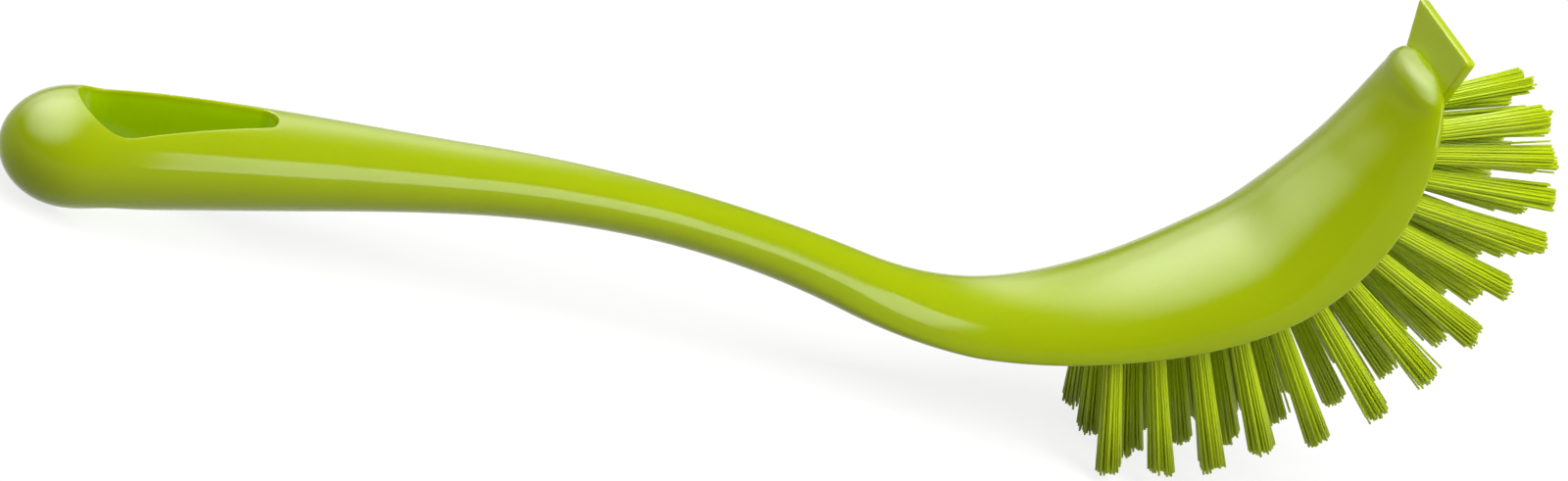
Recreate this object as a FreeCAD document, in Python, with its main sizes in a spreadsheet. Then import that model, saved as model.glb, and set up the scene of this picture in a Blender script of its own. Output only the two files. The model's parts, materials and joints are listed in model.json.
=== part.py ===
import FreeCAD, Part

import math
import os

import Sketcher

Vector = FreeCAD.Vector
Placement = FreeCAD.Placement
Rotation = FreeCAD.Rotation

ALONG = Vector(1, 0, 0)
ACROSS = Vector(0, 1, 0)
UPRIGHT = Vector(0, 0, 1)
SKETCH_AXIS_POINT = (-1, 1)
SKETCH_WIDE_AXIS = -1
# Two places nearer than this are one place.
NEAR = 1e-4

# Driving dimensions in millimetres and degrees.
# The brush is drawn lying along X with the middle of its round butt at the origin,
# its back towards +Z and its bristles towards -Z, and is then laid down on its bristles.
DIMENSIONS = (
    # The spine: tangent arcs, each with its length and the angle that it turns (up is positive).
    ("grip_run", 66.0), ("grip_turn", -3.0),
    ("neck_run", 73.0), ("neck_turn", -18.0),
    ("heel_run", 46.5), ("heel_turn", 31.0),
    ("sole_run", 24.5), ("sole_turn", 16.0),
    ("toe_run", 34.0), ("toe_turn", 55.5),
    ("tip_run", 14.5), ("tip_turn", 14.5),
    ("nose_run", 4.6), ("nose_turn", -10.0),
    # The round sections of the handle.
    ("butt_radius", 9.4), ("butt_length", 11.3), ("palm_radius", 8.4),
    ("waist_radius", 5.55), ("neck_radius", 4.5),
    # The sections of the head: half the width, the rise of the back and the drop of the bristle face.
    ("throat_half_width", 5.3), ("throat_rise", 4.95), ("throat_drop", 4.85),
    ("collar_half_width", 8.2), ("collar_rise", 5.9), ("collar_drop", 5.0),
    ("heel_half_width", 11.9), ("heel_rise", 8.55), ("heel_drop", 3.2),
    ("sole_half_width", 14.3), ("sole_rise", 12.85), ("sole_drop", 2.4),
    ("arch_half_width", 13.9), ("arch_rise", 14.6), ("arch_drop", 3.0),
    ("toe_half_width", 12.5), ("toe_rise", 11.6), ("toe_drop", 2.6),
    ("tip_half_width", 9.45), ("tip_rise", 4.9), ("tip_drop", 2.0),
    # The hang hole: a teardrop with a round end at the butt and a narrow end towards the neck.
    ("hole_centre", 5.6), ("hole_radius", 6.9), ("hole_tip_centre", 28.8), ("hole_tip_radius", 2.3),
    ("hole_rim_radius", 0.5),
    # The scraper blade that carries the bristle side of the head on past its nose.
    ("scraper_root", 6.0), ("scraper_root_half_width", 6.3), ("scraper_reach", 6.6), ("scraper_drop", 1.0),
    ("scraper_half_width", 9.8), ("scraper_thickness", 1.8), ("scraper_corner_radius", 0.8),
    # The bristle tufts and their blind holes.
    ("first_station", 0.5), ("heel_pitch", 7.5), ("toe_pitch", 3.95),
    ("row_reach", 7.8), ("edge_margin", 3.6),
    ("bore_radius", 1.5), ("bore_depth", 5.0), ("tuft_clearance", 0.05),
    ("heel_length", 23.3), ("crown_length", 28.8), ("toe_length", 20.2),
    ("tuft_root_radius", 1.25), ("tuft_tip_radius", 2.2),
    ("heel_lean", 4.0), ("toe_lean", 16.0), ("outer_flare", 7.0),
    # The flat wire anchors that hold the folded tufts in their holes.
    ("anchor_length", 3.6), ("anchor_height", 1.6), ("anchor_gauge", 0.4),
    ("anchor_lift", 0.9), ("anchor_clearance", 0.05),
    # Every cut runs this far past what it cuts.
    ("overrun", 3.0),
)

RUNS = ("grip", "neck", "heel", "sole", "toe", "tip", "nose")
# The sections that shape the handle: a name, and the share of a run at which it lies.
ROUND_SECTION_SHARES = (
    ("butt", "grip", 0.0), ("palm", "grip", 0.35), ("waist", "neck", 0.0), ("neck", "neck", 0.5),
)
HEAD_SECTION_SHARES = (
    ("throat", "heel", 0.0), ("collar", "heel", 0.5), ("heel", "sole", 0.0), ("sole", "toe", 0.0),
    ("arch", "toe", 0.5), ("toe", "tip", 0.0), ("tip", "nose", 0.0),
)
# The nose closes the head: shares of its run, and of the tip's half width, rise and drop.
NOSE_SHARES = ((0.5, 0.88, 0.80, 0.85), (0.85, 0.66, 0.48, 0.65), (1.0, 0.44, 0.18, 0.50))
# The handle is lofted through this many evenly spaced sections on each run before the nose.
LOFT_SECTIONS = {"grip": 6, "neck": 6, "heel": 4, "sole": 2, "toe": 4, "tip": 2}

# A tuft and its hole have this many flat sides.
TUFT_SIDES = 8
FLATS_TO_AXES = Rotation(UPRIGHT, 180 / TUFT_SIDES)
# Steps of the search for the angle at which the brush lies.
HALVINGS = 50
# The gaps between the tufts of the longest row.
ROW_GAPS = 12
# Row name, tufts in it, its share of the reach across the face, and the shares of the longest row at which
# it starts and ends, so that its tufts stand opposite the gaps of the row beside it.
ROW_SHARES = (
    ("right", 13, -1.0, 0.0, 1.0), ("mid_right", 12, -1 / 3, 0.06, 0.94),
    ("mid_left", 13, 1 / 3, 0.02, 0.98), ("left", 12, 1.0, 0.02, 0.90),
)

doc = FreeCAD.newDocument("dish_brush")
sizes = doc.addObject("Spreadsheet::Sheet", "sizes")
for row_number, (alias, value) in enumerate(DIMENSIONS, start=1):
    sizes.set(f"A{row_number}", alias)
    sizes.set(f"B{row_number}", str(value))
    sizes.setAlias(f"B{row_number}", alias)
doc.recompute()


def size(alias):
    return float(sizes.get(alias))


def spine_at(run_name, share):
    """Point of the spine at a share of a run, and the spine's angle there, in radians."""
    x = 0.0
    z = 0.0
    angle = 0.0
    for name in RUNS[:RUNS.index(run_name) + 1]:
        part = share if name == run_name else 1.0
        turn = math.radians(size(name + "_turn")) * part
        length = size(name + "_run") * part
        chord = length * math.sin(turn / 2) / (turn / 2) if turn else length
        x += chord * math.cos(angle + turn / 2)
        z += chord * math.sin(angle + turn / 2)
        angle += turn
    return x, z, angle


def distance_at(run_name, share):
    """Length of the spine from the butt to a share of a run."""
    passed = sum(size(name + "_run") for name in RUNS[:RUNS.index(run_name)])
    return passed + size(run_name + "_run") * share


def run_after(run_name, distance):
    """The run, and the share of it, that lies a distance past the start of a run."""
    for name in RUNS[RUNS.index(run_name):]:
        length = size(name + "_run")
        if distance <= length:
            return name, distance / length
        distance -= length
    raise ValueError("past the end of the spine")


def key_sections():
    """Each key section's distance, and the cells and shares that give its half width, rise and drop."""
    keys = []
    for name, run, share in ROUND_SECTION_SHARES:
        keys.append((distance_at(run, share), ((name + "_radius", 1.0),) * 3))
    for name, run, share in HEAD_SECTION_SHARES:
        cells = tuple((name + label, 1.0) for label in ("_half_width", "_rise", "_drop"))
        keys.append((distance_at(run, share), cells))
    for share, *parts in NOSE_SHARES:
        cells = tuple(zip(("tip_half_width", "tip_rise", "tip_drop"), parts))
        keys.append((distance_at("nose", share), cells))
    return keys


def slope_weights(distances, index):
    """Slope of a smooth curve at one key, as weights of the keys beside it; level at both ends."""
    if index in (0, len(distances) - 1):
        return {}
    before = distances[index] - distances[index - 1]
    after = distances[index + 1] - distances[index]
    lead = before / (after * (before + after))
    trail = after / (before * (before + after))
    return {index - 1: -trail, index: trail - lead, index + 1: lead}


def section_sizes(run_name, share):
    """Half width, rise and drop at a place on the spine, each a length and the expression for it."""
    keys = key_sections()
    distances = [distance for distance, _ in keys]
    place = distance_at(run_name, share)
    index = max(i for i in range(len(keys) - 1) if distances[i] <= place)
    gap = distances[index + 1] - distances[index]
    part = (place - distances[index]) / gap
    weights = {index: 1 - part ** 2 * (3 - 2 * part), index + 1: part ** 2 * (3 - 2 * part)}
    bends = ((index, part * (1 - part) ** 2), (index + 1, -part ** 2 * (1 - part)))
    for key, bend in bends:
        for other, slope in slope_weights(distances, key).items():
            weights[other] = weights.get(other, 0.0) + bend * gap * slope
    found = []
    for measure in range(3):
        length = 0.0
        terms = []
        for key, weight in weights.items():
            cell, cell_share = keys[key][1][measure]
            length += size(cell) * cell_share * weight
            terms.append(f"sizes.{cell} * ({cell_share * weight:.9f})")
        found.append((length, " + ".join(terms)))
    return found


def origin_plane(body, role):
    return next(plane for plane in body.Origin.OriginFeatures if plane.Role == role)


def attach(feature, body, role, offset=None):
    feature.AttachmentSupport = [(origin_plane(body, role), "")]
    feature.MapMode = "FlatFace"
    if offset is not None:
        feature.AttachmentOffset = offset


def drive(sketch, constraint, expression):
    """Add a dimension to a sketch and bind it to the sheet."""
    index = sketch.addConstraint(constraint)
    sketch.setExpression(f"Constraints[{index}]", expression)


def pin_half(sketch, arc):
    """Centre a half section on the spine, with its two ends on the widest line."""
    sketch.addConstraint(Sketcher.Constraint("Coincident", arc, 3, *SKETCH_AXIS_POINT))
    for end in (1, 2):
        sketch.addConstraint(Sketcher.Constraint("PointOnObject", arc, end, SKETCH_WIDE_AXIS))


def draw_half_circle(sketch, radius, start, expression):
    circle = Part.Circle(Vector(), UPRIGHT, radius)
    arc = sketch.addGeometry(Part.ArcOfCircle(circle, start, start + math.pi), False)
    pin_half(sketch, arc)
    drive(sketch, Sketcher.Constraint("Radius", arc, radius), expression)


def draw_half_ellipse(sketch, across, up, start):
    """Half an ellipse from its half width and its height, each a length with its expression."""
    wide = across[0] > up[0]
    major_size, minor_size = (across, up) if wide else (up, across)
    major_end = Vector(across[0], 0, 0) if wide else Vector(0, up[0], 0)
    minor_end = Vector(0, up[0], 0) if wide else Vector(-across[0], 0, 0)
    first = start if wide else start - math.pi / 2
    ellipse = Part.Ellipse(major_end, minor_end, Vector())
    arc = sketch.addGeometry(Part.ArcOfEllipse(ellipse, first, first + math.pi), False)
    major = sketch.GeometryCount
    minor = major + 1
    sketch.exposeInternalGeometry(arc)
    sketch.addConstraint(Sketcher.Constraint("Horizontal" if wide else "Vertical", major))
    pin_half(sketch, arc)
    drive(sketch, Sketcher.Constraint("Distance", major, 2 * major_size[0]), f"2 * ({major_size[1]})")
    drive(sketch, Sketcher.Constraint("Distance", minor, 2 * minor_size[0]), f"2 * ({minor_size[1]})")


def loft_section(body, run_name, share):
    """A section square to the spine: the back and the bristle side, which meet at the widest line."""
    x, z, angle = spine_at(run_name, share)
    sketch = body.newObject("Sketcher::SketchObject", run_name + "_section")
    tilt = Rotation(ALONG, -math.degrees(angle))
    attach(sketch, body, "YZ_Plane", Placement(Vector(0, z, x), tilt))
    half_width, rise, drop = section_sizes(run_name, share)
    for height, start in ((rise, 0), (drop, math.pi)):
        if height[1] == half_width[1]:
            draw_half_circle(sketch, half_width[0], start, half_width[1])
        else:
            draw_half_ellipse(sketch, half_width, height, start)
    return sketch


def loft_handle(body):
    """One smooth form from the round grip through the neck to the domed head."""
    sections = []
    for run_name, count in LOFT_SECTIONS.items():
        sections += [loft_section(body, run_name, number / count) for number in range(count)]
    sections += [loft_section(body, "nose", share) for share in (0.0, *(place[0] for place in NOSE_SHARES))]
    doc.recompute()
    loft = body.newObject("PartDesign::AdditiveLoft", "handle_loft")
    loft.Profile = sections[0]
    loft.Sections = sections[1:]
    doc.recompute()


def round_butt(body):
    """Half an egg, as wide as the grip and a little longer than a ball, closes the grip behind."""
    egg = body.newObject("PartDesign::AdditiveEllipsoid", "butt_egg")
    attach(egg, body, "YZ_Plane")
    egg.setExpression("Radius1", "sizes.butt_length")
    egg.setExpression("Radius2", "sizes.butt_radius")
    egg.setExpression("Radius3", "sizes.butt_radius")
    egg.Angle1 = -90
    egg.Angle2 = 0
    doc.recompute()


def round_edges(body, name, radius, numbers):
    """Round the numbered edges of the body's last feature."""
    last = body.Tip
    rounding = body.newObject("PartDesign::Fillet", name)
    rounding.Base = (last, [f"Edge{number}" for number in numbers])
    rounding.setExpression("Radius", "sizes." + radius)
    doc.recompute()


def add_scraper(body):
    """A flat blade, wider at its edge, that starts inside the nose and runs on past it."""
    x, z, angle = spine_at("nose", 1.0)
    x += size("scraper_drop") * math.sin(angle)
    z -= size("scraper_drop") * math.cos(angle)
    root = size("scraper_root")
    reach = size("scraper_reach")
    narrow = size("scraper_root_half_width")
    wide = size("scraper_half_width")
    sketch = body.newObject("Sketcher::SketchObject", "scraper_outline")
    tilt = Rotation(ACROSS, -math.degrees(angle))
    attach(sketch, body, "XY_Plane", Placement(Vector(x, 0, z), tilt))
    outline = (
        Vector(-root, -narrow, 0), Vector(reach, -wide, 0), Vector(reach, wide, 0), Vector(-root, narrow, 0),
    )
    for start, end in zip(outline, outline[1:] + outline[:1]):
        sketch.addGeometry(Part.LineSegment(start, end), False)
    for line in range(4):
        sketch.addConstraint(Sketcher.Constraint("Coincident", line, 2, (line + 1) % 4, 1))
    sketch.addConstraint(Sketcher.Constraint("Symmetric", 1, 1, 1, 2, SKETCH_WIDE_AXIS))
    sketch.addConstraint(Sketcher.Constraint("Symmetric", 3, 1, 3, 2, SKETCH_WIDE_AXIS))
    drive(sketch, Sketcher.Constraint("Distance", 1, 2 * wide), "2 * sizes.scraper_half_width")
    drive(sketch, Sketcher.Constraint("Distance", 3, 2 * narrow), "2 * sizes.scraper_root_half_width")
    drive(sketch, Sketcher.Constraint("DistanceX", *SKETCH_AXIS_POINT, 1, 1, reach), "sizes.scraper_reach")
    drive(sketch, Sketcher.Constraint("DistanceX", 0, 1, *SKETCH_AXIS_POINT, root), "sizes.scraper_root")
    doc.recompute()
    blade = body.newObject("PartDesign::Pad", "scraper_blade")
    blade.Profile = sketch
    blade.SideType = "Symmetric"
    blade.setExpression("Length", "sizes.scraper_thickness")
    doc.recompute()
    edge = Vector(x + reach * math.cos(angle), 0, z + reach * math.sin(angle))
    corners = (edge + ACROSS * wide, edge - ACROSS * wide)
    round_edges(body, "scraper_corners", "scraper_corner_radius", [
        number for number, side in enumerate(blade.Shape.Edges, start=1)
        if min(side.CenterOfMass.distanceToPoint(corner) for corner in corners) < NEAR
    ])


def cut_hang_hole(body):
    """A teardrop through the grip: two arcs joined by the two lines that touch both."""
    centre = Vector(size("hole_centre"), 0, 0)
    tip_centre = Vector(size("hole_tip_centre"), 0, 0)
    radius = size("hole_radius")
    tip_radius = size("hole_tip_radius")
    touch = math.acos((radius - tip_radius) / (tip_centre.x - centre.x))
    direction = Vector(math.cos(touch), math.sin(touch), 0)
    mirrored = Vector(direction.x, -direction.y, 0)
    sketch = body.newObject("Sketcher::SketchObject", "hang_hole_outline")
    attach(sketch, body, "XY_Plane")
    big = Part.ArcOfCircle(Part.Circle(centre, UPRIGHT, radius), touch, 2 * math.pi - touch)
    small = Part.ArcOfCircle(Part.Circle(tip_centre, UPRIGHT, tip_radius), -touch, touch)
    lines = (
        Part.LineSegment(centre + mirrored * radius, tip_centre + mirrored * tip_radius),
        Part.LineSegment(tip_centre + direction * tip_radius, centre + direction * radius),
    )
    sketch.addGeometry([big, lines[0], small, lines[1]], False)
    for first, second in ((0, 1), (1, 2), (2, 3), (3, 0)):
        sketch.addConstraint(Sketcher.Constraint("Tangent", first, 2, second, 1))
    for arc in (0, 2):
        sketch.addConstraint(Sketcher.Constraint("PointOnObject", arc, 3, SKETCH_WIDE_AXIS))
    drive(sketch, Sketcher.Constraint("Radius", 0, radius), "sizes.hole_radius")
    drive(sketch, Sketcher.Constraint("Radius", 2, tip_radius), "sizes.hole_tip_radius")
    for arc, middle, alias in ((0, centre, "hole_centre"), (2, tip_centre, "hole_tip_centre")):
        place = Sketcher.Constraint("DistanceX", *SKETCH_AXIS_POINT, arc, 3, middle.x)
        drive(sketch, place, "sizes." + alias)
    doc.recompute()
    before = body.Shape.Volume
    hole = body.newObject("PartDesign::Pocket", "hang_hole")
    hole.Profile = sketch
    hole.Type = "ThroughAll"
    hole.SideType = "Symmetric"
    doc.recompute()
    if body.Shape.Volume >= before:
        raise RuntimeError("the hang hole cuts nothing")
    # An edge of one wall of the hole only, not of two, is part of its rim.
    end = tip_centre.x + tip_radius + NEAR
    walls = [
        face for face in hole.Shape.Faces
        if isinstance(face.Surface, (Part.Plane, Part.Cylinder)) and face.BoundBox.XMax < end
    ]
    sides = [edge for wall in walls for edge in wall.Edges]
    round_edges(body, "hang_hole_rim", "hole_rim_radius", [
        number for number, edge in enumerate(hole.Shape.Edges, start=1)
        if sum(edge.isSame(side) for side in sides) == 1
    ])


def tuft_places():
    """Every tuft's name, its frame at the mouth of its hole with Z along it, and its place from -1 to 1."""
    heel_pitch = size("heel_pitch")
    toe_pitch = size("toe_pitch")
    for row, tufts_in_row, row_share, start, end in ROW_SHARES:
        for number in range(tufts_in_row):
            along = start + (end - start) * number / (tufts_in_row - 1)
            mean_pitch = heel_pitch + (toe_pitch - heel_pitch) * along / 2
            distance = size("first_station") + along * ROW_GAPS * mean_pitch
            run_name, share = run_after("sole", distance)
            x, z, angle = spine_at(run_name, share)
            (half_width, _), _, (drop, _) = section_sizes(run_name, share)
            y = row_share * min(size("row_reach"), half_width - size("edge_margin"))
            depth = drop * math.sqrt(1 - (y / half_width) ** 2)
            middle = 2 * along - 1
            if middle < 0:
                lean = size("heel_lean") * (1 - (2 * along) ** 2)
            else:
                lean = size("toe_lean") * middle ** 3
            mouth = Vector(x + depth * math.sin(angle), y, z - depth * math.cos(angle))
            turned = Rotation(ACROSS, 180 - math.degrees(angle) - lean)
            splayed = Rotation(ALONG, -size("outer_flare") * row_share)
            yield f"tuft_{row}_{number + 1:02d}", Placement(mouth, turned * splayed), middle


def moved(place, x, y, z):
    return place * Placement(Vector(x, y, z), Rotation())


def anchor_box(name, place, grow):
    """The flat wire across a hole, or the room for it, grown by a clearance on every side."""
    clearance = f" + 2 * sizes.{grow}" if grow else ""
    box = doc.addObject("Part::Box", name)
    box.setExpression("Length", "sizes.anchor_gauge" + clearance)
    box.setExpression("Width", "sizes.anchor_length" + clearance)
    box.setExpression("Height", "sizes.anchor_height" + clearance)
    margin = size(grow) if grow else 0.0
    box.Placement = moved(
        place,
        -size("anchor_gauge") / 2 - margin,
        -size("anchor_length") / 2 - margin,
        -size("bore_depth") + size("anchor_lift") - margin,
    )
    return box


def tuft_bore(name, place):
    """The blind hole of one tuft, with the two grooves that its anchor bites into the wall."""
    bore = doc.addObject("Part::Prism", name + "_bore")
    bore.Polygon = TUFT_SIDES
    bore.setExpression("Circumradius", "sizes.bore_radius")
    bore.setExpression("Height", "sizes.bore_depth + sizes.overrun")
    bore.Placement = moved(place, 0, 0, -size("bore_depth")) * Placement(Vector(), FLATS_TO_AXES)
    seat = doc.addObject("Part::Fuse", name + "_seat")
    seat.Base = bore
    seat.Tool = anchor_box(name + "_groove", place, "anchor_clearance")
    return seat


def square_spike(name, length, turn):
    """A four-sided spike from a hole's foot to a tuft's tip, as wide as the tuft's flat sides are apart."""
    spike = doc.addObject("Part::Wedge", name)
    flat = f" * cos({180 / TUFT_SIDES})"
    for side in ("X", "Z"):
        for sign, end in (("-", "min"), ("", "max")):
            spike.setExpression(side + end, sign + "sizes.tuft_root_radius" + flat)
            spike.setExpression(side + "2" + end, sign + "sizes.tuft_tip_radius" + flat)
    spike.setExpression("Ymin", "sizes.tuft_clearance - sizes.bore_depth")
    spike.setExpression("Ymax", length)
    spike.Placement = Placement(Vector(), turn * Rotation(ALONG, 90))
    return spike


def make_tuft(name, place, middle, rest):
    """A bundle of filaments folded under its anchor, which stands in its hole and spreads towards its tip."""
    end = "heel_length" if middle < 0 else "toe_length"
    fall = middle ** 2
    length = f"sizes.crown_length * {1 - fall} + sizes.{end} * {fall}"
    # Two square spikes, one turned by half a corner, leave an eight-sided one where they overlap.
    bundle = doc.addObject("Part::Common", name + "_bundle")
    bundle.Base = square_spike(name + "_square", length, Rotation())
    bundle.Tool = square_spike(name + "_diamond", length, Rotation(UPRIGHT, 360 / TUFT_SIDES))
    tuft = doc.addObject("Part::Cut", name)
    tuft.Base = bundle
    tuft.Tool = anchor_box(name + "_fold", Placement(), "anchor_clearance")
    tuft.Placement = rest * place
    return tuft


def tuft_tip(place, middle):
    """Middle of a tuft's tip and the direction it points in."""
    end = size("heel_length") if middle < 0 else size("toe_length")
    length = size("crown_length") + (end - size("crown_length")) * middle ** 2
    return place.multVec(Vector(0, 0, length)), place.Rotation.multVec(UPRIGHT)


def tip_reach(tips, rotation, direction):
    """How far the tufts' tips, taken as round, reach in a direction once they are turned."""
    radius = size("tuft_tip_radius")
    return max(
        rotation.multVec(point).dot(direction)
        + radius * math.sqrt(1 - min(1.0, rotation.multVec(way).dot(direction) ** 2))
        for point, way in tips
    )


def butt_reach(rotation, direction):
    """How far the butt's rounded end reaches from its middle in a direction once it is turned."""
    way = rotation.inverted().multVec(direction)
    return math.hypot(size("butt_length") * way.x, size("butt_radius") * way.z)


def rest_placement(places):
    """Lay the brush on its butt and its lowest bristles, with the origin under the middle of its length."""
    tips = [tuft_tip(place, middle) for _, place, middle in places]
    low = 0.0
    high = math.pi / 4
    for _ in range(HALVINGS):
        angle = (low + high) / 2
        rotation = Rotation(ACROSS, -math.degrees(angle))
        if tip_reach(tips, rotation, -UPRIGHT) > butt_reach(rotation, -UPRIGHT):
            low = angle
        else:
            high = angle
    middle = (tip_reach(tips, rotation, ALONG) - butt_reach(rotation, -ALONG)) / 2
    return Placement(Vector(-middle, 0, butt_reach(rotation, -UPRIGHT)), rotation)


places = list(tuft_places())
rest = rest_placement(places)

moulding = doc.addObject("PartDesign::Body", "moulding")
loft_handle(moulding)
round_butt(moulding)
add_scraper(moulding)
cut_hang_hole(moulding)

bores = doc.addObject("Part::Compound", "bores")
bores.Links = [tuft_bore(name, place) for name, place, _ in places]
handle = doc.addObject("Part::Cut", "handle")
handle.Base = moulding
handle.Tool = bores
handle.Placement = rest

tufts = [make_tuft(name, place, middle, rest) for name, place, middle in places]

anchors = doc.addObject("Part::Compound", "tuft_anchors")
anchors.Links = [anchor_box(name + "_anchor", place, None) for name, place, _ in places]
anchors.Placement = rest
doc.recompute()

for item in doc.Objects:
    if {"Invalid", "Error"} & set(item.State):
        raise RuntimeError(f"{item.Name} failed: {item.State}")

nodes = [handle, anchors] + tufts
for node in nodes:
    node.Label = node.Name
    if node.Shape.isNull() or not node.Shape.isValid():
        raise RuntimeError(f"{node.Label} has no valid shape")

os.makedirs("parts", exist_ok=True)
for node in nodes:
    node.Shape.exportStep(f"parts/{node.Label}.step")
print(f"{len(nodes)} nodes, handle {handle.Shape.Volume:.0f} mm3, "
      f"lies at {math.degrees(rest.Rotation.Angle):.2f} degrees")
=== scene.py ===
import json
import math
import random

import bmesh
import bpy
import numpy as np
from mathutils import Matrix, Vector


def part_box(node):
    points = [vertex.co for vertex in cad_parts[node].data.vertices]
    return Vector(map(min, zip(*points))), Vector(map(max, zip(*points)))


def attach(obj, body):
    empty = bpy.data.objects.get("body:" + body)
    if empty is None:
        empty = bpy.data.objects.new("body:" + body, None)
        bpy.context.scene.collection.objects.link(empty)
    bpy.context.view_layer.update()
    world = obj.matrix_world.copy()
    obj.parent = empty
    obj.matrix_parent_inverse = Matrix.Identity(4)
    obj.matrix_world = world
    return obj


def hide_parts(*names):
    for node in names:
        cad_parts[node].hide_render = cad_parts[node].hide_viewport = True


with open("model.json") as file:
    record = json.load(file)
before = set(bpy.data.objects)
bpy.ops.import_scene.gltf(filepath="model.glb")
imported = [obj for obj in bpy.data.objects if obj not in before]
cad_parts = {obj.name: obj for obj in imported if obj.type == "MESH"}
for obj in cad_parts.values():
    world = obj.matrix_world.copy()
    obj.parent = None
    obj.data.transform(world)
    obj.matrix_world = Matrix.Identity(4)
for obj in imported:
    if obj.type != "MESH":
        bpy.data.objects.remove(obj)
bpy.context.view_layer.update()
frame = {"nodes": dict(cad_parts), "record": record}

# Sizes of the brush and of its view are in millimetres, and those of the studio in metres.
MM = 0.001
BODY = "root"

# Spine of the moulding: run and turn in degrees of each tangent arc.
SPINE_ARCS = (
    (66.0, -3.0), (73.0, -18.0), (46.5, 31.0), (24.5, 16.0), (34.0, 55.5), (14.5, 14.5), (4.6, -10.0),
)
SPINE_LENGTH = sum(run for run, _ in SPINE_ARCS)
# Key sections: place on the spine, half width, rise of the back, drop of the bristle face.
KEY_SECTIONS = (
    (0.0, 9.4, 9.4, 9.4), (23.1, 8.4, 8.4, 8.4), (66.0, 5.55, 5.55, 5.55), (102.5, 4.5, 4.5, 4.5),
    (139.0, 5.3, 4.95, 4.85), (162.25, 8.2, 5.9, 5.0), (185.5, 11.9, 8.55, 3.2), (210.0, 14.3, 12.85, 2.4),
    (227.0, 13.9, 14.6, 3.0), (244.0, 12.5, 11.6, 2.6), (258.5, 9.45, 4.9, 2.0), (260.8, 8.32, 3.92, 1.7),
    (262.41, 6.24, 2.35, 1.3), (263.1, 4.16, 0.88, 1.0),
)
# How far the widest line of a section sags below the spine: place on the spine, and sag.
BELLY_SAG = (
    (0.0, 0.0), (102.5, 0.0), (125.0, 0.8), (139.0, 1.9), (162.25, 2.8),
    (185.5, 1.1), (210.0, 0.2), (244.0, 0.0), (264.0, 0.0),
)
# The butt is half an egg: its radius is the first section's, and it reaches this far behind it.
BUTT_RADIUS = KEY_SECTIONS[0][1]
BUTT_LENGTH = 11.3

# Hang hole: middle and radius of its round end and of its narrow end, and how far its rim is rounded.
HOLE_CENTRE = 5.6
HOLE_RADIUS = 6.4
HOLE_TIP_CENTRE = 28.8
HOLE_TIP_RADIUS = 2.3
RIM_ROUNDING = 0.5
# The hole's wall goes up to this share of the rim's height, less the rounding, with a ring on its way.
WALL_TOP = 0.92
WALL_RING = 0.55
# The holed end of the grip gives way to plain rings here.
GRIP_PATCH_END = 44.0

# Steps of the moulding's mesh: round a ring, round the hole's narrow end, along its sides, round the butt,
# over the rim, and from the rim to the grip's widest line. Halves closer than the weld gap are joined.
RING_SIDES = 48
TIP_STEPS = RING_SIDES // 2
LINE_STEPS = 18
BUTT_STEPS = 20
RIM_STEPS = 4
PATCH_STEPS = 8
WELD_GAP = 1e-4
# Gaps between rings, closer along the nose, and how the last rings shrink towards the nose's middle.
RING_GAP = 2.0
NOSE_START = 256.0
NOSE_GAP = 0.45
NOSE_CLOSING = (0.85, 0.4)

# Scraper blade: its reach into the nose and out of it, how far it lies below the spine, its half width in
# the nose and at its free edge, its thickness, and the rounding of its corners and edges with their steps.
BLADE_ROOT = 6.0
BLADE_REACH = 6.6
BLADE_DROP = 1.0
BLADE_ROOT_HALF_WIDTH = 6.3
BLADE_HALF_WIDTH = 9.8
BLADE_THICKNESS = 1.8
BLADE_CORNER = 0.8
BLADE_CORNER_STEPS = 5
BLADE_EDGE = 0.4
BLADE_EDGE_STEPS = 4
# The blade's two flats look straight up or down and are larger than any face of the rounding. A band is
# left round them, inside the rounded edges, so that their middle shades flat.
FLAT_LOOKS_UP = 0.99
FLAT_AREA = 1.0
BLADE_BAND = 0.15

# Nylon filaments of one tuft: how many, their radius and sides, and the bundle's radius at its root and
# at its tip.
STRANDS = 62
STRAND_RADIUS = 0.195
STRAND_SIDES = 6
BUNDLE_RADIUS = 1.45
TIP_RADIUS = 2.1
# Filaments stand in a sunflower's spiral, which fills the bundle evenly.
GOLDEN_ANGLE = 2.39996
# Points along a filament, as shares of its length, and the power at which its spread grows along it.
STRAND_PARTS = (0.0, 0.25, 0.6, 1.0)
SPREAD_POWER = 1.5
# Clumps that are cut to one length: how many, how far one is cut short at most, the power that spreads the
# cuts apart, and how much a single filament adds.
CLUMPS = 4
CLUMP_CUT = 1.9
CLUMP_POWER = 1.4
RAGGED_CUT = 0.3
# Share of stray filaments, how much wider they spread, and how far any tip and any middle wanders aside.
STRAY_SHARE = 0.05
STRAY_SPREAD = 1.35
TIP_WANDER = 0.12
MIDDLE_WANDER = 0.05
# A packed tuft's vertices this near to its end belong to that end.
END_BAND = 0.05

# Patterns per metre: clouds in the plastic 22 mm across, handling marks 2.5 mm, orange peel 1.4 mm, and
# streaks on the wire 0.4 mm. The peel and the streaks are drawn coarser than real ones, so that they show.
CLOUD_SCALE = 45.0
HANDLING_SCALE = 400.0
PEEL_SCALE = 700.0
STREAK_SCALE = 2500.0

# Floor: half its size, how far it lies below the brush, and its glow where it is seen or mirrored.
FLOOR_HALF_SIZE = 3.0
FLOOR_DROP = 0.0002
FLOOR_GLOW = 0.8
ROOM_BRIGHTNESS = 0.3
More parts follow.
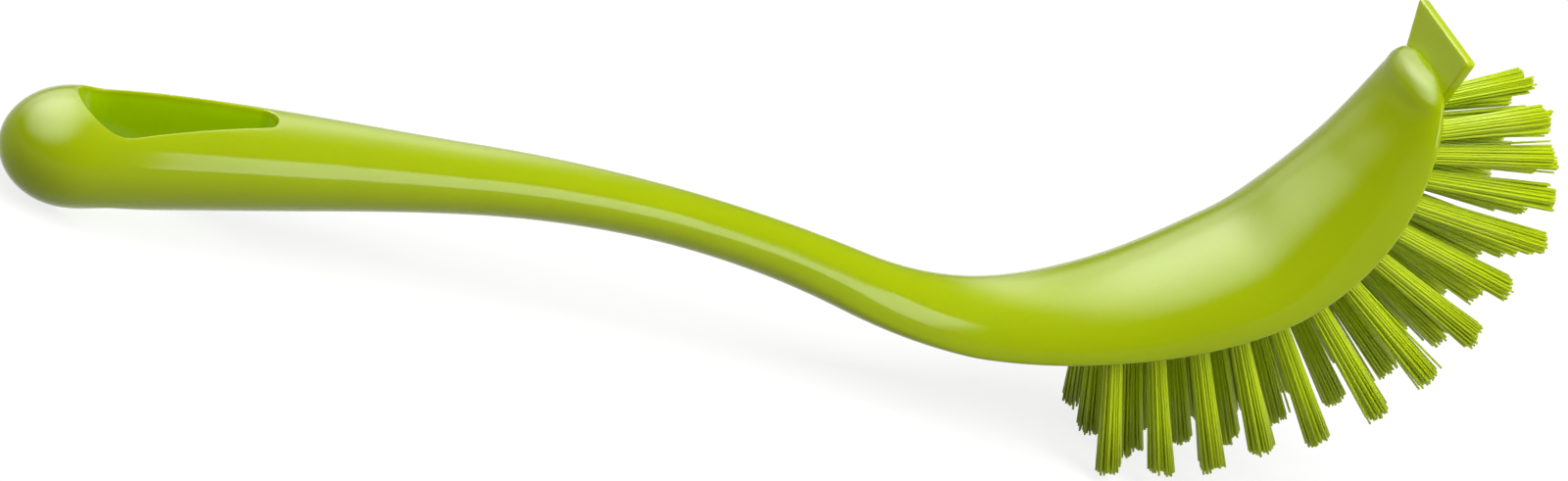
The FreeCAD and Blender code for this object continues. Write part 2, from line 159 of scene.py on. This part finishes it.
# Softboxes: name, direction from the brush, distance, width, height, brightness, whether they light the
# brush's colour or its gloss, and whether they fade towards their edges.
SOFTBOXES = (
    ("top_softbox", (0.04, -0.37, 0.93), 1.3, 1.2, 1.0, 3.6, "colour", False),
    ("left_fill", (-0.80, 0.55, 0.25), 1.3, 1.2, 0.8, 1.2, "colour", False),
    ("right_fill", (0.62, -0.72, 0.30), 1.3, 1.0, 0.8, 1.4, "colour", False),
    ("left_softbox", (-0.633, 0.112, 0.766), 1.4, 4.4, 2.75, 17.5, "gloss", True),
    ("back_softbox", (-0.241, 0.598, 0.764), 1.4, 2.8, 4.4, 8.0, "gloss", True),
    ("back_strip", (0.275, 0.614, 0.740), 1.4, 0.6, 3.6, 3.2, "gloss", True),
    ("front_strip", (0.468, -0.815, 0.342), 1.4, 0.42, 0.78, 10.5, "gloss", False),
)

# The photograph's view: swing, rise and roll of the camera about the drawn brush in degrees, the point it
# looks at, its distance, its focal length and sensor, and how far it sees in metres.
VIEW_SWING = 23.6
VIEW_RISE = 35.0
VIEW_ROLL = 3.5
VIEW_CENTRE = Vector((122.41, 0.0, -9.90))
VIEW_DISTANCE = 1065.0
FOCAL_LENGTH = 153.36
SENSOR_WIDTH = 36.0
VIEW_END = 20.0

draw = random.Random(7)


def linear(hex_colour):
    """An sRGB hex colour as linear RGBA."""
    parts = [int(hex_colour[place:place + 2], 16) / 255 for place in (1, 3, 5)]
    return [p / 12.92 if p <= 0.04045 else ((p + 0.055) / 1.055) ** 2.4 for p in parts] + [1.0]


def add_node(tree, kind, settings=(), links=()):
    """A node with its settings, for inputs or for the node itself, and its links from other sockets."""
    node = tree.nodes.new(kind)
    for name, value in settings:
        if isinstance(name, int) or name in node.inputs:
            node.inputs[name].default_value = value
        else:
            setattr(node, name, value)
    for name, socket in links:
        tree.links.new(socket, node.inputs[name])
    return node


def new_material(name):
    """An empty material and its node tree."""
    material = bpy.data.materials.new(name)
    material.use_nodes = True
    material.node_tree.nodes.clear()
    return material, material.node_tree


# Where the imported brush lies: the hang hole's axis gives its tilt, and the butt gives its place.
hang_hole = next(mount for mount in frame["record"]["mounts"] if mount["name"] == "hang_hole")
lie = math.asin(-hang_hole["axis"][0])
handle_low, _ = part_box("handle")
butt_reach = Vector((
    math.hypot(BUTT_LENGTH * math.cos(lie), BUTT_RADIUS * math.sin(lie)), 0.0,
    math.hypot(BUTT_LENGTH * math.sin(lie), BUTT_RADIUS * math.cos(lie)),
))
butt_centre = Vector((handle_low.x, 0.0, handle_low.z)) / MM + butt_reach
REST = Matrix.Scale(MM, 4) @ Matrix.Translation(butt_centre) @ Matrix.Rotation(-lie, 4, "Y")


def spine_at(place):
    """Point of the spine at a distance from the butt's middle, and its angle; straight behind that."""
    if place < 0:
        return place, 0.0, 0.0
    x = z = angle = 0.0
    for run, degrees in SPINE_ARCS:
        length = min(run, place)
        turn = math.radians(degrees) * length / run
        chord = length * math.sin(turn / 2) / (turn / 2) if turn else length
        x += chord * math.cos(angle + turn / 2)
        z += chord * math.sin(angle + turn / 2)
        angle += turn
        place -= length
    return x, z, angle


def along_spine(straight):
    """A point of the straight brush (along, across, up) carried onto the bent spine."""
    x, z, angle = spine_at(straight.x)
    return Vector((x - straight.z * math.sin(angle), straight.y, z + straight.z * math.cos(angle)))


def key_slope(key, measure):
    """How steeply a measure changes at a key section, from its neighbours; level at both ends."""
    if key in (0, len(KEY_SECTIONS) - 1):
        return 0.0
    last, here, coming = KEY_SECTIONS[key - 1:key + 2]
    before = here[0] - last[0]
    after = coming[0] - here[0]
    fall = (here[measure] - last[measure]) / before
    rise = (coming[measure] - here[measure]) / after
    return (fall * after + rise * before) / (before + after)


def section_at(place):
    """Half width, rise and drop at a place on the spine, eased between the key sections."""
    keys = KEY_SECTIONS
    place = max(place, 0.0)
    index = max(i for i in range(len(keys) - 1) if keys[i][0] <= place)
    gap = keys[index + 1][0] - keys[index][0]
    part = (place - keys[index][0]) / gap
    blend = part ** 2 * (3 - 2 * part)
    found = []
    for measure in (1, 2, 3):
        value = keys[index][measure] * (1 - blend) + keys[index + 1][measure] * blend
        value += gap * part * (1 - part) ** 2 * key_slope(index, measure)
        value -= gap * part ** 2 * (1 - part) * key_slope(index + 1, measure)
        found.append(value)
    return found


def on_grip(point):
    """A point near the grip's upper half moved out onto its round surface."""
    if point.x < 0:
        return point / math.hypot(point.x / BUTT_LENGTH, point.y / BUTT_RADIUS, point.z / BUTT_RADIUS)
    radius = section_at(point.x)[0]
    reach = math.hypot(point.y, point.z)
    return Vector((point.x, point.y * radius / reach, point.z * radius / reach))


def grip_height(x, y):
    """Height of the grip's surface over a point of its middle plane."""
    radius = section_at(x)[0] * math.sqrt(1 - (min(x, 0.0) / BUTT_LENGTH) ** 2)
    return math.sqrt(max(radius ** 2 - y ** 2, 0.0))


def hole_outline():
    """Teardrop round the hang hole: narrow end, side, round end and side, each point with its way out."""
    touch = math.acos((HOLE_RADIUS - HOLE_TIP_RADIUS) / (HOLE_TIP_CENTRE - HOLE_CENTRE))
    points = []
    for step in range(TIP_STEPS):
        points.append((HOLE_TIP_CENTRE, HOLE_TIP_RADIUS, touch - 2 * touch * step / TIP_STEPS))
    for step in range(LINE_STEPS):
        part = step / LINE_STEPS
        centre = HOLE_TIP_CENTRE + (HOLE_CENTRE - HOLE_TIP_CENTRE) * part
        points.append((centre, HOLE_TIP_RADIUS + (HOLE_RADIUS - HOLE_TIP_RADIUS) * part, -touch))
    for step in range(BUTT_STEPS):
        points.append((HOLE_CENTRE, HOLE_RADIUS, -touch - 2 * (math.pi - touch) * step / BUTT_STEPS))
    for step in range(LINE_STEPS):
        part = 1 - step / LINE_STEPS
        centre = HOLE_TIP_CENTRE + (HOLE_CENTRE - HOLE_TIP_CENTRE) * part
        points.append((centre, HOLE_TIP_RADIUS + (HOLE_RADIUS - HOLE_TIP_RADIUS) * part, touch))
    outline = []
    for centre, radius, angle in points:
        out = Vector((math.cos(angle), math.sin(angle), 0.0))
        outline.append((Vector((centre, 0.0, 0.0)) + out * radius, out))
    return outline


def patch_border():
    """Outer border of the holed end's upper half, point for point with the hole's outline."""
    border = []
    radius = section_at(GRIP_PATCH_END)[0]
    for step in range(TIP_STEPS):
        angle = math.pi * step / TIP_STEPS
        border.append(Vector((GRIP_PATCH_END, radius * math.cos(angle), radius * math.sin(angle))))
    for step in range(LINE_STEPS):
        x = GRIP_PATCH_END * (1 - step / LINE_STEPS)
        border.append(Vector((x, -section_at(x)[0], 0.0)))
    for step in range(BUTT_STEPS):
        angle = -math.pi / 2 - math.pi * step / BUTT_STEPS
        border.append(Vector((BUTT_LENGTH * math.cos(angle), BUTT_RADIUS * math.sin(angle), 0.0)))
    for step in range(LINE_STEPS):
        x = GRIP_PATCH_END * step / LINE_STEPS
        border.append(Vector((x, section_at(x)[0], 0.0)))
    return border


def next_ring(bm, edges):
    """Extrude a loop of edges and give back the new loop's edges and vertices."""
    grown = bmesh.ops.extrude_edge_only(bm, edges=edges)["geom"]
    verts = [item for item in grown if isinstance(item, bmesh.types.BMVert)]
    new = set(verts)
    loop = [item for item in grown if isinstance(item, bmesh.types.BMEdge) and set(item.verts) <= new]
    return loop, verts


def holed_end(bm, number, painted_light):
    """Upper half of the grip's end, grown from the hang hole's wall over its rim to the widest line."""
    outline = hole_outline()
    shoulders = []
    for point, out in outline:
        rim = point + out * RIM_ROUNDING
        shoulders.append(Vector((rim.x, rim.y, grip_height(rim.x, rim.y))))
    corners = [Vector((point.x, point.y, grip_height(point.x, point.y))) for point, _ in outline]
    walls = [
        Vector((point.x, point.y, shoulder.z * WALL_TOP - RIM_ROUNDING))
        for (point, _), shoulder in zip(outline, shoulders)
    ]
    wall_rings = [[Vector((wall.x, wall.y, wall.z * WALL_RING)) for wall in walls], walls]
    outer_rings = []
    for step in range(1, RIM_STEPS + 1):
        part = step / RIM_STEPS
        outer_rings.append([
            wall * (1 - part) ** 2 + corner * 2 * part * (1 - part) + shoulder * part ** 2
            for wall, corner, shoulder in zip(walls, corners, shoulders)
        ])
    border = patch_border()
    for step in range(1, PATCH_STEPS + 1):
        part = step / PATCH_STEPS
        outer_rings.append([
            on_grip(shoulder.lerp(edge, part)) for shoulder, edge in zip(shoulders, border)
        ])

    ring = bmesh.ops.create_circle(bm, segments=len(outline), radius=1.0)["verts"]
    for index, vert in enumerate(ring):
        vert[number] = index
        vert[painted_light] = 1.0
        vert.co = outline[index][0]
    edges = list(bm.edges)
    # The hole's wall gets a painted-light share of 1 and the rim and outside none; the material paints the
    # wall lighter and greener as painted light for light through the wall and bounced in the hole.
    for rings, painted_light_share in ((wall_rings, 1.0), (outer_rings, 0.0)):
        for places in rings:
            edges, verts = next_ring(bm, edges)
            for vert in verts:
                vert.co = places[vert[number]]
                vert[painted_light] = painted_light_share


def shape_handle():
    """The moulding without its blade: holed grip, neck, domed head and closing nose."""
    bm = bmesh.new()
    number = bm.verts.layers.int.new("number")
    turn = bm.verts.layers.float.new("turn")
    # The holed end marks the hang hole's wall for painted light.
    holed_end(bm, number, bm.verts.layers.float.new("wall_painted_light"))
    bmesh.ops.mirror(bm, geom=bm.verts[:] + bm.edges[:] + bm.faces[:], axis="Z", merge_dist=WELD_GAP)
    edges = [edge for edge in bm.edges if edge.is_boundary]
    for vert in {vert for edge in edges for vert in edge.verts}:
        vert[turn] = math.atan2(vert.co.z, vert.co.y)
    places = []
    stretches = ((GRIP_PATCH_END, NOSE_START, RING_GAP), (NOSE_START, SPINE_LENGTH, NOSE_GAP))
    for start, end, ring_gap in stretches:
        steps = round((end - start) / ring_gap)
        places += [start + (end - start) * step / steps for step in range(1, steps + 1)]
    for place in places:
        edges, verts = next_ring(bm, edges)
        half_width, rise, drop = section_at(place)
        sag = float(np.interp(place, *zip(*BELLY_SAG)))
        for vert in verts:
            height = rise + sag if vert[turn] > 0 else drop - sag
            vert.co = (place, half_width * math.cos(vert[turn]), height * math.sin(vert[turn]) - sag)
    for shrink in NOSE_CLOSING:
        edges, verts = next_ring(bm, edges)
        for vert in verts:
            vert.co = (SPINE_LENGTH, vert.co.y * shrink, vert.co.z * shrink)
    bmesh.ops.edgeloop_fill(bm, edges=edges)
    bmesh.ops.recalc_face_normals(bm, faces=bm.faces)
    for vert in bm.verts:
        vert.co = REST @ along_spine(vert.co)
    return bm


def blade_flats(bm):
    """The two large flat faces of the blade while it lies level."""
    return [
        face for face in bm.faces
        if abs(face.normal.z) > FLAT_LOOKS_UP and face.calc_area() > FLAT_AREA
    ]


def shape_blade():
    """The scraper: a flat plate, wider at its free edge, with every edge rounded."""
    bm = bmesh.new()
    bmesh.ops.create_cube(bm, size=1.0)
    for vert in bm.verts:
        free = vert.co.x > 0
        vert.co.x = BLADE_REACH if free else -BLADE_ROOT
        vert.co.y *= 2 * (BLADE_HALF_WIDTH if free else BLADE_ROOT_HALF_WIDTH)
        vert.co.z *= BLADE_THICKNESS
    corners = [
        edge for edge in bm.edges
        if all(vert.co.x > 0 for vert in edge.verts) and edge.verts[0].co.y * edge.verts[1].co.y > 0
    ]
    bmesh.ops.bevel(
        bm, geom=corners, offset=BLADE_CORNER, affect="EDGES",
        segments=BLADE_CORNER_STEPS, profile=0.5, material=-1,
    )
    rims = list({edge for face in blade_flats(bm) for edge in face.edges})
    bmesh.ops.bevel(
        bm, geom=rims, offset=BLADE_EDGE, affect="EDGES",
        segments=BLADE_EDGE_STEPS, profile=0.5, material=-1,
    )
    bmesh.ops.inset_individual(bm, faces=blade_flats(bm), thickness=BLADE_BAND)
    # The whole blade is marked for painted light, which the material turns into a lighter, yellower colour
    # standing for light through the plate.
    painted_light = bm.verts.layers.float.new("blade_painted_light")
    for vert in bm.verts:
        vert[painted_light] = 1.0
    x, z, angle = spine_at(SPINE_LENGTH)
    place = REST @ Matrix.Translation((x, 0.0, z)) @ Matrix.Rotation(-angle, 4, "Y")
    place @= Matrix.Translation((0.0, 0.0, -BLADE_DROP))
    bmesh.ops.transform(bm, matrix=place, verts=bm.verts)
    bmesh.ops.recalc_face_normals(bm, faces=bm.faces)
    return bm


def tuft_axis(node):
    """Root and tip of a packed tuft: the ends of its long axis, the tip being the wider one."""
    points = np.array([vert.co for vert in frame["nodes"][node].data.vertices]) / MM
    middle = points.mean(axis=0)
    _, ways = np.linalg.eigh(np.cov((points - middle).T))
    way = ways[:, -1]
    along = (points - middle) @ way
    spread = np.linalg.norm(points - middle - np.outer(along, way), axis=1)
    ends = (along.min(), along.max())
    widths = [spread[abs(along - end) < END_BAND].max() for end in ends]
    root, tip = ends if widths[1] > widths[0] else ends[::-1]
    return Vector(middle + way * root), Vector(middle + way * tip)


def wander(reach):
    """A small random step sideways."""
    return Vector((draw.uniform(-reach, reach), draw.uniform(-reach, reach), 0.0))


def filament_path(number, twist, clumps, length):
    """Points along one filament of an upright bundle, from its root to its cut end."""
    share = math.sqrt((number + 0.5) / STRANDS)
    angle = number * GOLDEN_ANGLE + twist
    side = Vector((math.cos(angle), math.sin(angle), 0.0))
    nearest = min(clumps, key=lambda clump: 1 - math.cos(clump[0] - angle))
    short = nearest[1] + draw.uniform(0.0, RAGGED_CUT)
    spread = STRAY_SPREAD if draw.random() < STRAY_SHARE else 1.0
    foot = side * share * BUNDLE_RADIUS
    top = side * share * TIP_RADIUS * spread + wander(TIP_WANDER)
    bow = wander(MIDDLE_WANDER)
    path = []
    for part in STRAND_PARTS:
        offset = foot.lerp(top, part ** SPREAD_POWER) + bow * 4 * part * (1 - part)
        path.append(offset + Vector((0.0, 0.0, part * (length - short))))
    return path


def shape_tuft(node):
    """A bundle of cut filaments that spread a little, in clumps that end at slightly different lengths."""
    root, tip = tuft_axis(node)
    length = (tip - root).length
    turn = (tip - root).to_track_quat("Z", "Y").to_matrix().to_4x4()
    clumps = [
        (draw.uniform(0, 2 * math.pi), draw.uniform(0.0, CLUMP_CUT) ** CLUMP_POWER) for _ in range(CLUMPS)
    ]
    twist = draw.uniform(0, 2 * math.pi)
    bm = bmesh.new()
    strand = bm.faces.layers.int.new("strand")
    shade = bm.verts.layers.float.new("strand_shade")
    paths = []
    for number in range(STRANDS):
        path = filament_path(number, twist, clumps, length)
        paths.append(path)
        start = bmesh.ops.create_circle(
            bm, cap_ends=True, segments=STRAND_SIDES, radius=STRAND_RADIUS,
            matrix=Matrix.Translation(path[0]),
        )["verts"]
        tone = draw.random()
        for vert in start:
            vert[shade] = tone
        start[0].link_faces[0][strand] = number
    caps = list(bm.faces)
    for step in range(1, len(STRAND_PARTS)):
        caps = bmesh.ops.extrude_discrete_faces(bm, faces=caps)["faces"]
        for cap in caps:
            path = paths[cap[strand]]
            bmesh.ops.translate(bm, vec=path[step] - path[step - 1], verts=cap.verts)
    bmesh.ops.holes_fill(bm, edges=[edge for edge in bm.edges if edge.is_boundary], sides=STRAND_SIDES)
    bmesh.ops.recalc_face_normals(bm, faces=bm.faces)
    bmesh.ops.transform(bm, matrix=Matrix.Scale(MM, 4) @ Matrix.Translation(root) @ turn, verts=bm.verts)
    return bm


def make_piece(name, bm, material, node):
    """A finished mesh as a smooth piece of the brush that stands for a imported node."""
    mesh = bpy.data.meshes.new(name)
    bm.to_mesh(mesh)
    bm.free()
    mesh.polygons.foreach_set("use_smooth", [True] * len(mesh.polygons))
    mesh.materials.append(material)
    piece = bpy.data.objects.new(name, mesh)
    bpy.context.scene.collection.objects.link(piece)
    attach(piece, BODY)
    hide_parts(node)
    return piece


def moulded_polypropylene():
    """Glossy lime polypropylene, injection moulded: a clear sheen that handling dulls a little in places,
    faint clouds from the melt and a very slight orange peel. It lets some light through, so that it shades
    softly. The hang hole's wall is painted lighter and greener, and the blade lighter and yellower:
    painted light for the light that comes through them and bounces in the hole."""
    material, tree = new_material("moulded_polypropylene")
    place = add_node(tree, "ShaderNodeTexCoord").outputs["Object"]
    cloud = add_node(tree, "ShaderNodeTexNoise", (("Scale", CLOUD_SCALE), ("Detail", 2.0)), (
        ("Vector", place),
    ))
    colour = add_node(tree, "ShaderNodeMixRGB", (
        ("Color1", linear("#AABE00")), ("Color2", linear("#B0C503")),
    ), (("Fac", cloud.outputs["Fac"]),))
    # Painted light: where the mark is set, the colour is mixed towards a lighter, greener one on the hang
    # hole's wall and a lighter, yellower one on the blade, standing for light that passes through them and
    # bounces in the hole.
    for painted_light_name, painted_light_colour in (("wall_painted_light", "#BCDC00"), ("blade_painted_light", "#C4D700")):
        painted_light = add_node(tree, "ShaderNodeAttribute", (("attribute_name", painted_light_name),))
        colour = add_node(tree, "ShaderNodeMixRGB", (("Color2", linear(painted_light_colour)),), (
            ("Fac", painted_light.outputs["Fac"]), ("Color1", colour.outputs["Color"]),
        ))
    marks = add_node(tree, "ShaderNodeTexNoise", (("Scale", HANDLING_SCALE), ("Detail", 3.0)), (
        ("Vector", place),
    ))
    gloss = add_node(tree, "ShaderNodeMapRange", (("To Min", 0.09), ("To Max", 0.14)), (
        ("Value", marks.outputs["Fac"]),
    ))
    peel = add_node(tree, "ShaderNodeTexNoise", (("Scale", PEEL_SCALE), ("Detail", 1.0)), (
        ("Vector", place),
    ))
    bump = add_node(tree, "ShaderNodeBump", (("Strength", 0.03), ("Distance", 0.0002)), (
        ("Height", peel.outputs["Fac"]),
    ))
    shader = add_node(tree, "ShaderNodeBsdfPrincipled", (
        ("IOR", 1.49), ("Specular IOR Level", 0.15),
        ("Subsurface Weight", 0.35), ("Subsurface Scale", 0.003), ("Subsurface Radius", (0.8, 1.0, 0.1)),
    ), (
        ("Base Color", colour.outputs["Color"]),
        ("Roughness", gloss.outputs["Result"]),
        ("Normal", bump.outputs["Normal"]),
    ))
    add_node(tree, "ShaderNodeOutputMaterial", (), (("Surface", shader.outputs["BSDF"]),))
    return material


def nylon_filament():
    """Extruded green nylon filament: a satin, faintly translucent thread, each one a little lighter or
    darker than the next."""
    material, tree = new_material("nylon_filament")
    tone = add_node(tree, "ShaderNodeAttribute", (("attribute_name", "strand_shade"),))
    colour = add_node(tree, "ShaderNodeMixRGB", (
        ("Color1", linear("#BFD600")), ("Color2", linear("#D0E60E")),
    ), (("Fac", tone.outputs["Fac"]),))
    shader = add_node(tree, "ShaderNodeBsdfPrincipled", (
        ("IOR", 1.53), ("Roughness", 0.4), ("Specular IOR Level", 0.2),
        ("Subsurface Weight", 0.3), ("Subsurface Scale", 0.0006), ("Subsurface Radius", (1.0, 1.0, 0.3)),
    ), (("Base Color", colour.outputs["Color"]),))
    add_node(tree, "ShaderNodeOutputMaterial", (), (("Surface", shader.outputs["BSDF"]),))
    return material


def galvanised_wire():
    """Drawn and galvanised flat steel wire: grey, dull, with fine streaks."""
    material, tree = new_material("galvanised_wire")
    place = add_node(tree, "ShaderNodeTexCoord").outputs["Object"]
    streak = add_node(tree, "ShaderNodeTexNoise", (("Scale", STREAK_SCALE), ("Detail", 2.0)), (
        ("Vector", place),
    ))
    colour = add_node(tree, "ShaderNodeMixRGB", (
        ("Color1", linear("#8E9194")), ("Color2", linear("#B5B8BA")),
    ), (("Fac", streak.outputs["Fac"]),))
    shader = add_node(tree, "ShaderNodeBsdfPrincipled", (("Metallic", 1.0), ("Roughness", 0.4)), (
        ("Base Color", colour.outputs["Color"]),
    ))
    add_node(tree, "ShaderNodeOutputMaterial", (), (("Surface", shader.outputs["BSDF"]),))
    return material


plastic = moulded_polypropylene()
nylon = nylon_filament()
wire = galvanised_wire()

handle = make_piece("handle_moulding", shape_handle(), plastic, "handle")
rounding = handle.modifiers.new("rounding", "SUBSURF")
rounding.levels = 1
rounding.render_levels = 1
make_piece("scraper_blade", shape_blade(), plastic, "handle")
for node in sorted(frame["nodes"]):
    if node.startswith("tuft_") and node != "tuft_anchors":
        make_piece(node.replace("tuft", "bristles"), shape_tuft(node), nylon, node)
anchors = frame["nodes"]["tuft_anchors"]
anchors.data.materials.clear()
anchors.data.materials.append(wire)


def floor_paint():
    """Matt white paint that reads as plain white and keeps a faint shadow."""
    material, tree = new_material("floor_paint")
    path = add_node(tree, "ShaderNodeLightPath").outputs
    seen = add_node(tree, "ShaderNodeMath", (("operation", "MAXIMUM"),), (
        (0, path["Is Camera Ray"]), (1, path["Is Glossy Ray"]),
    ))
    seen = add_node(tree, "ShaderNodeMath", (("operation", "MAXIMUM"),), (
        (0, seen.outputs["Value"]), (1, path["Is Transmission Ray"]),
    ))
    glow = add_node(tree, "ShaderNodeMath", (("operation", "MULTIPLY"), (1, FLOOR_GLOW)), (
        (0, seen.outputs["Value"]),
    ))
    shader = add_node(tree, "ShaderNodeBsdfPrincipled", (
        ("Base Color", linear("#8A8A8A")), ("Roughness", 0.9), ("Specular IOR Level", 0.0),
        ("Emission Color", linear("#FFFFFF")),
    ), (("Emission Strength", glow.outputs["Value"]),))
    add_node(tree, "ShaderNodeOutputMaterial", (), (("Surface", shader.outputs["BSDF"]),))
    return material


def lay_floor():
    """The plain pale floor that the brush lies on."""
    bm = bmesh.new()
    bmesh.ops.create_grid(bm, x_segments=1, y_segments=1, size=FLOOR_HALF_SIZE)
    bmesh.ops.translate(bm, vec=(0.0, 0.0, -FLOOR_DROP), verts=bm.verts)
    mesh = bpy.data.meshes.new("floor")
    bm.to_mesh(mesh)
    bm.free()
    mesh.materials.append(floor_paint())
    floor = bpy.data.objects.new("floor", mesh)
    bpy.context.scene.collection.objects.link(floor)


def fade_to_edges(lamp):
    """Let a softbox be brightest in its middle and dark at its edges."""
    lamp.use_nodes = True
    tree = lamp.node_tree
    face = add_node(tree, "ShaderNodeNewGeometry").outputs["Parametric"]
    middle = (0.5, 0.5, 0.0)
    offset = add_node(tree, "ShaderNodeVectorMath", (("operation", "DISTANCE"), (1, middle)), ((0, face),))
    fall = add_node(tree, "ShaderNodeMapRange", (
        ("interpolation_type", "SMOOTHSTEP"), ("From Max", 0.5), ("To Min", 1.0), ("To Max", 0.0),
    ), (("Value", offset.outputs["Value"]),))
    tree.links.new(fall.outputs["Result"], tree.nodes["Emission"].inputs["Strength"])


def hang_softbox(name, way, distance, width, height, brightness, lights, fades):
    """A softbox that faces the brush and lights either its colour or its gloss."""
    lamp = bpy.data.lights.new(name, "AREA")
    lamp.shape = "RECTANGLE"
    lamp.size = width
    lamp.size_y = height
    lamp.energy = math.pi * width * height * brightness
    if fades:
        fade_to_edges(lamp)
    softbox = bpy.data.objects.new(name, lamp)
    way = Vector(way).normalized()
    softbox.location = way * distance
    softbox.rotation_mode = "QUATERNION"
    softbox.rotation_quaternion = way.to_track_quat("Z", "Y")
    softbox.visible_glossy = lights == "gloss"
    softbox.visible_diffuse = lights == "colour"
    bpy.context.scene.collection.objects.link(softbox)


def fill_room():
    """Faint even light from all round."""
    room = bpy.data.worlds.new("studio")
    room.use_nodes = True
    background = room.node_tree.nodes["Background"]
    background.inputs["Color"].default_value = linear("#FFFFFF")
    background.inputs["Strength"].default_value = ROOM_BRIGHTNESS
    bpy.context.scene.world = room


def set_camera():
    """The camera where the photograph was taken from."""
    swing = math.radians(VIEW_SWING)
    rise = math.radians(VIEW_RISE)
    right = Vector((math.cos(swing), -math.sin(swing) * math.cos(rise), math.sin(swing) * math.sin(rise)))
    up = Vector((0.0, math.sin(rise), math.cos(rise)))
    back = right.cross(up)
    roll = Matrix.Rotation(-math.radians(VIEW_ROLL) - lie, 3, "Y")
    axes = Matrix([roll @ way for way in (right, up, back)]).transposed()
    lens = bpy.data.cameras.new("photo_camera")
    lens.lens = FOCAL_LENGTH
    lens.sensor_width = SENSOR_WIDTH
    lens.clip_end = VIEW_END
    camera = bpy.data.objects.new("photo_camera", lens)
    stand = REST @ VIEW_CENTRE + axes.col[2] * VIEW_DISTANCE * MM
    camera.matrix_world = Matrix.Translation(stand) @ axes.to_4x4()
    bpy.context.scene.collection.objects.link(camera)
    bpy.context.scene.camera = camera


lay_floor()
for softbox in SOFTBOXES:
    hang_softbox(*softbox)
fill_room()
set_camera()
bpy.context.scene.view_settings.view_transform = "Standard"

bpy.context.view_layer.update()
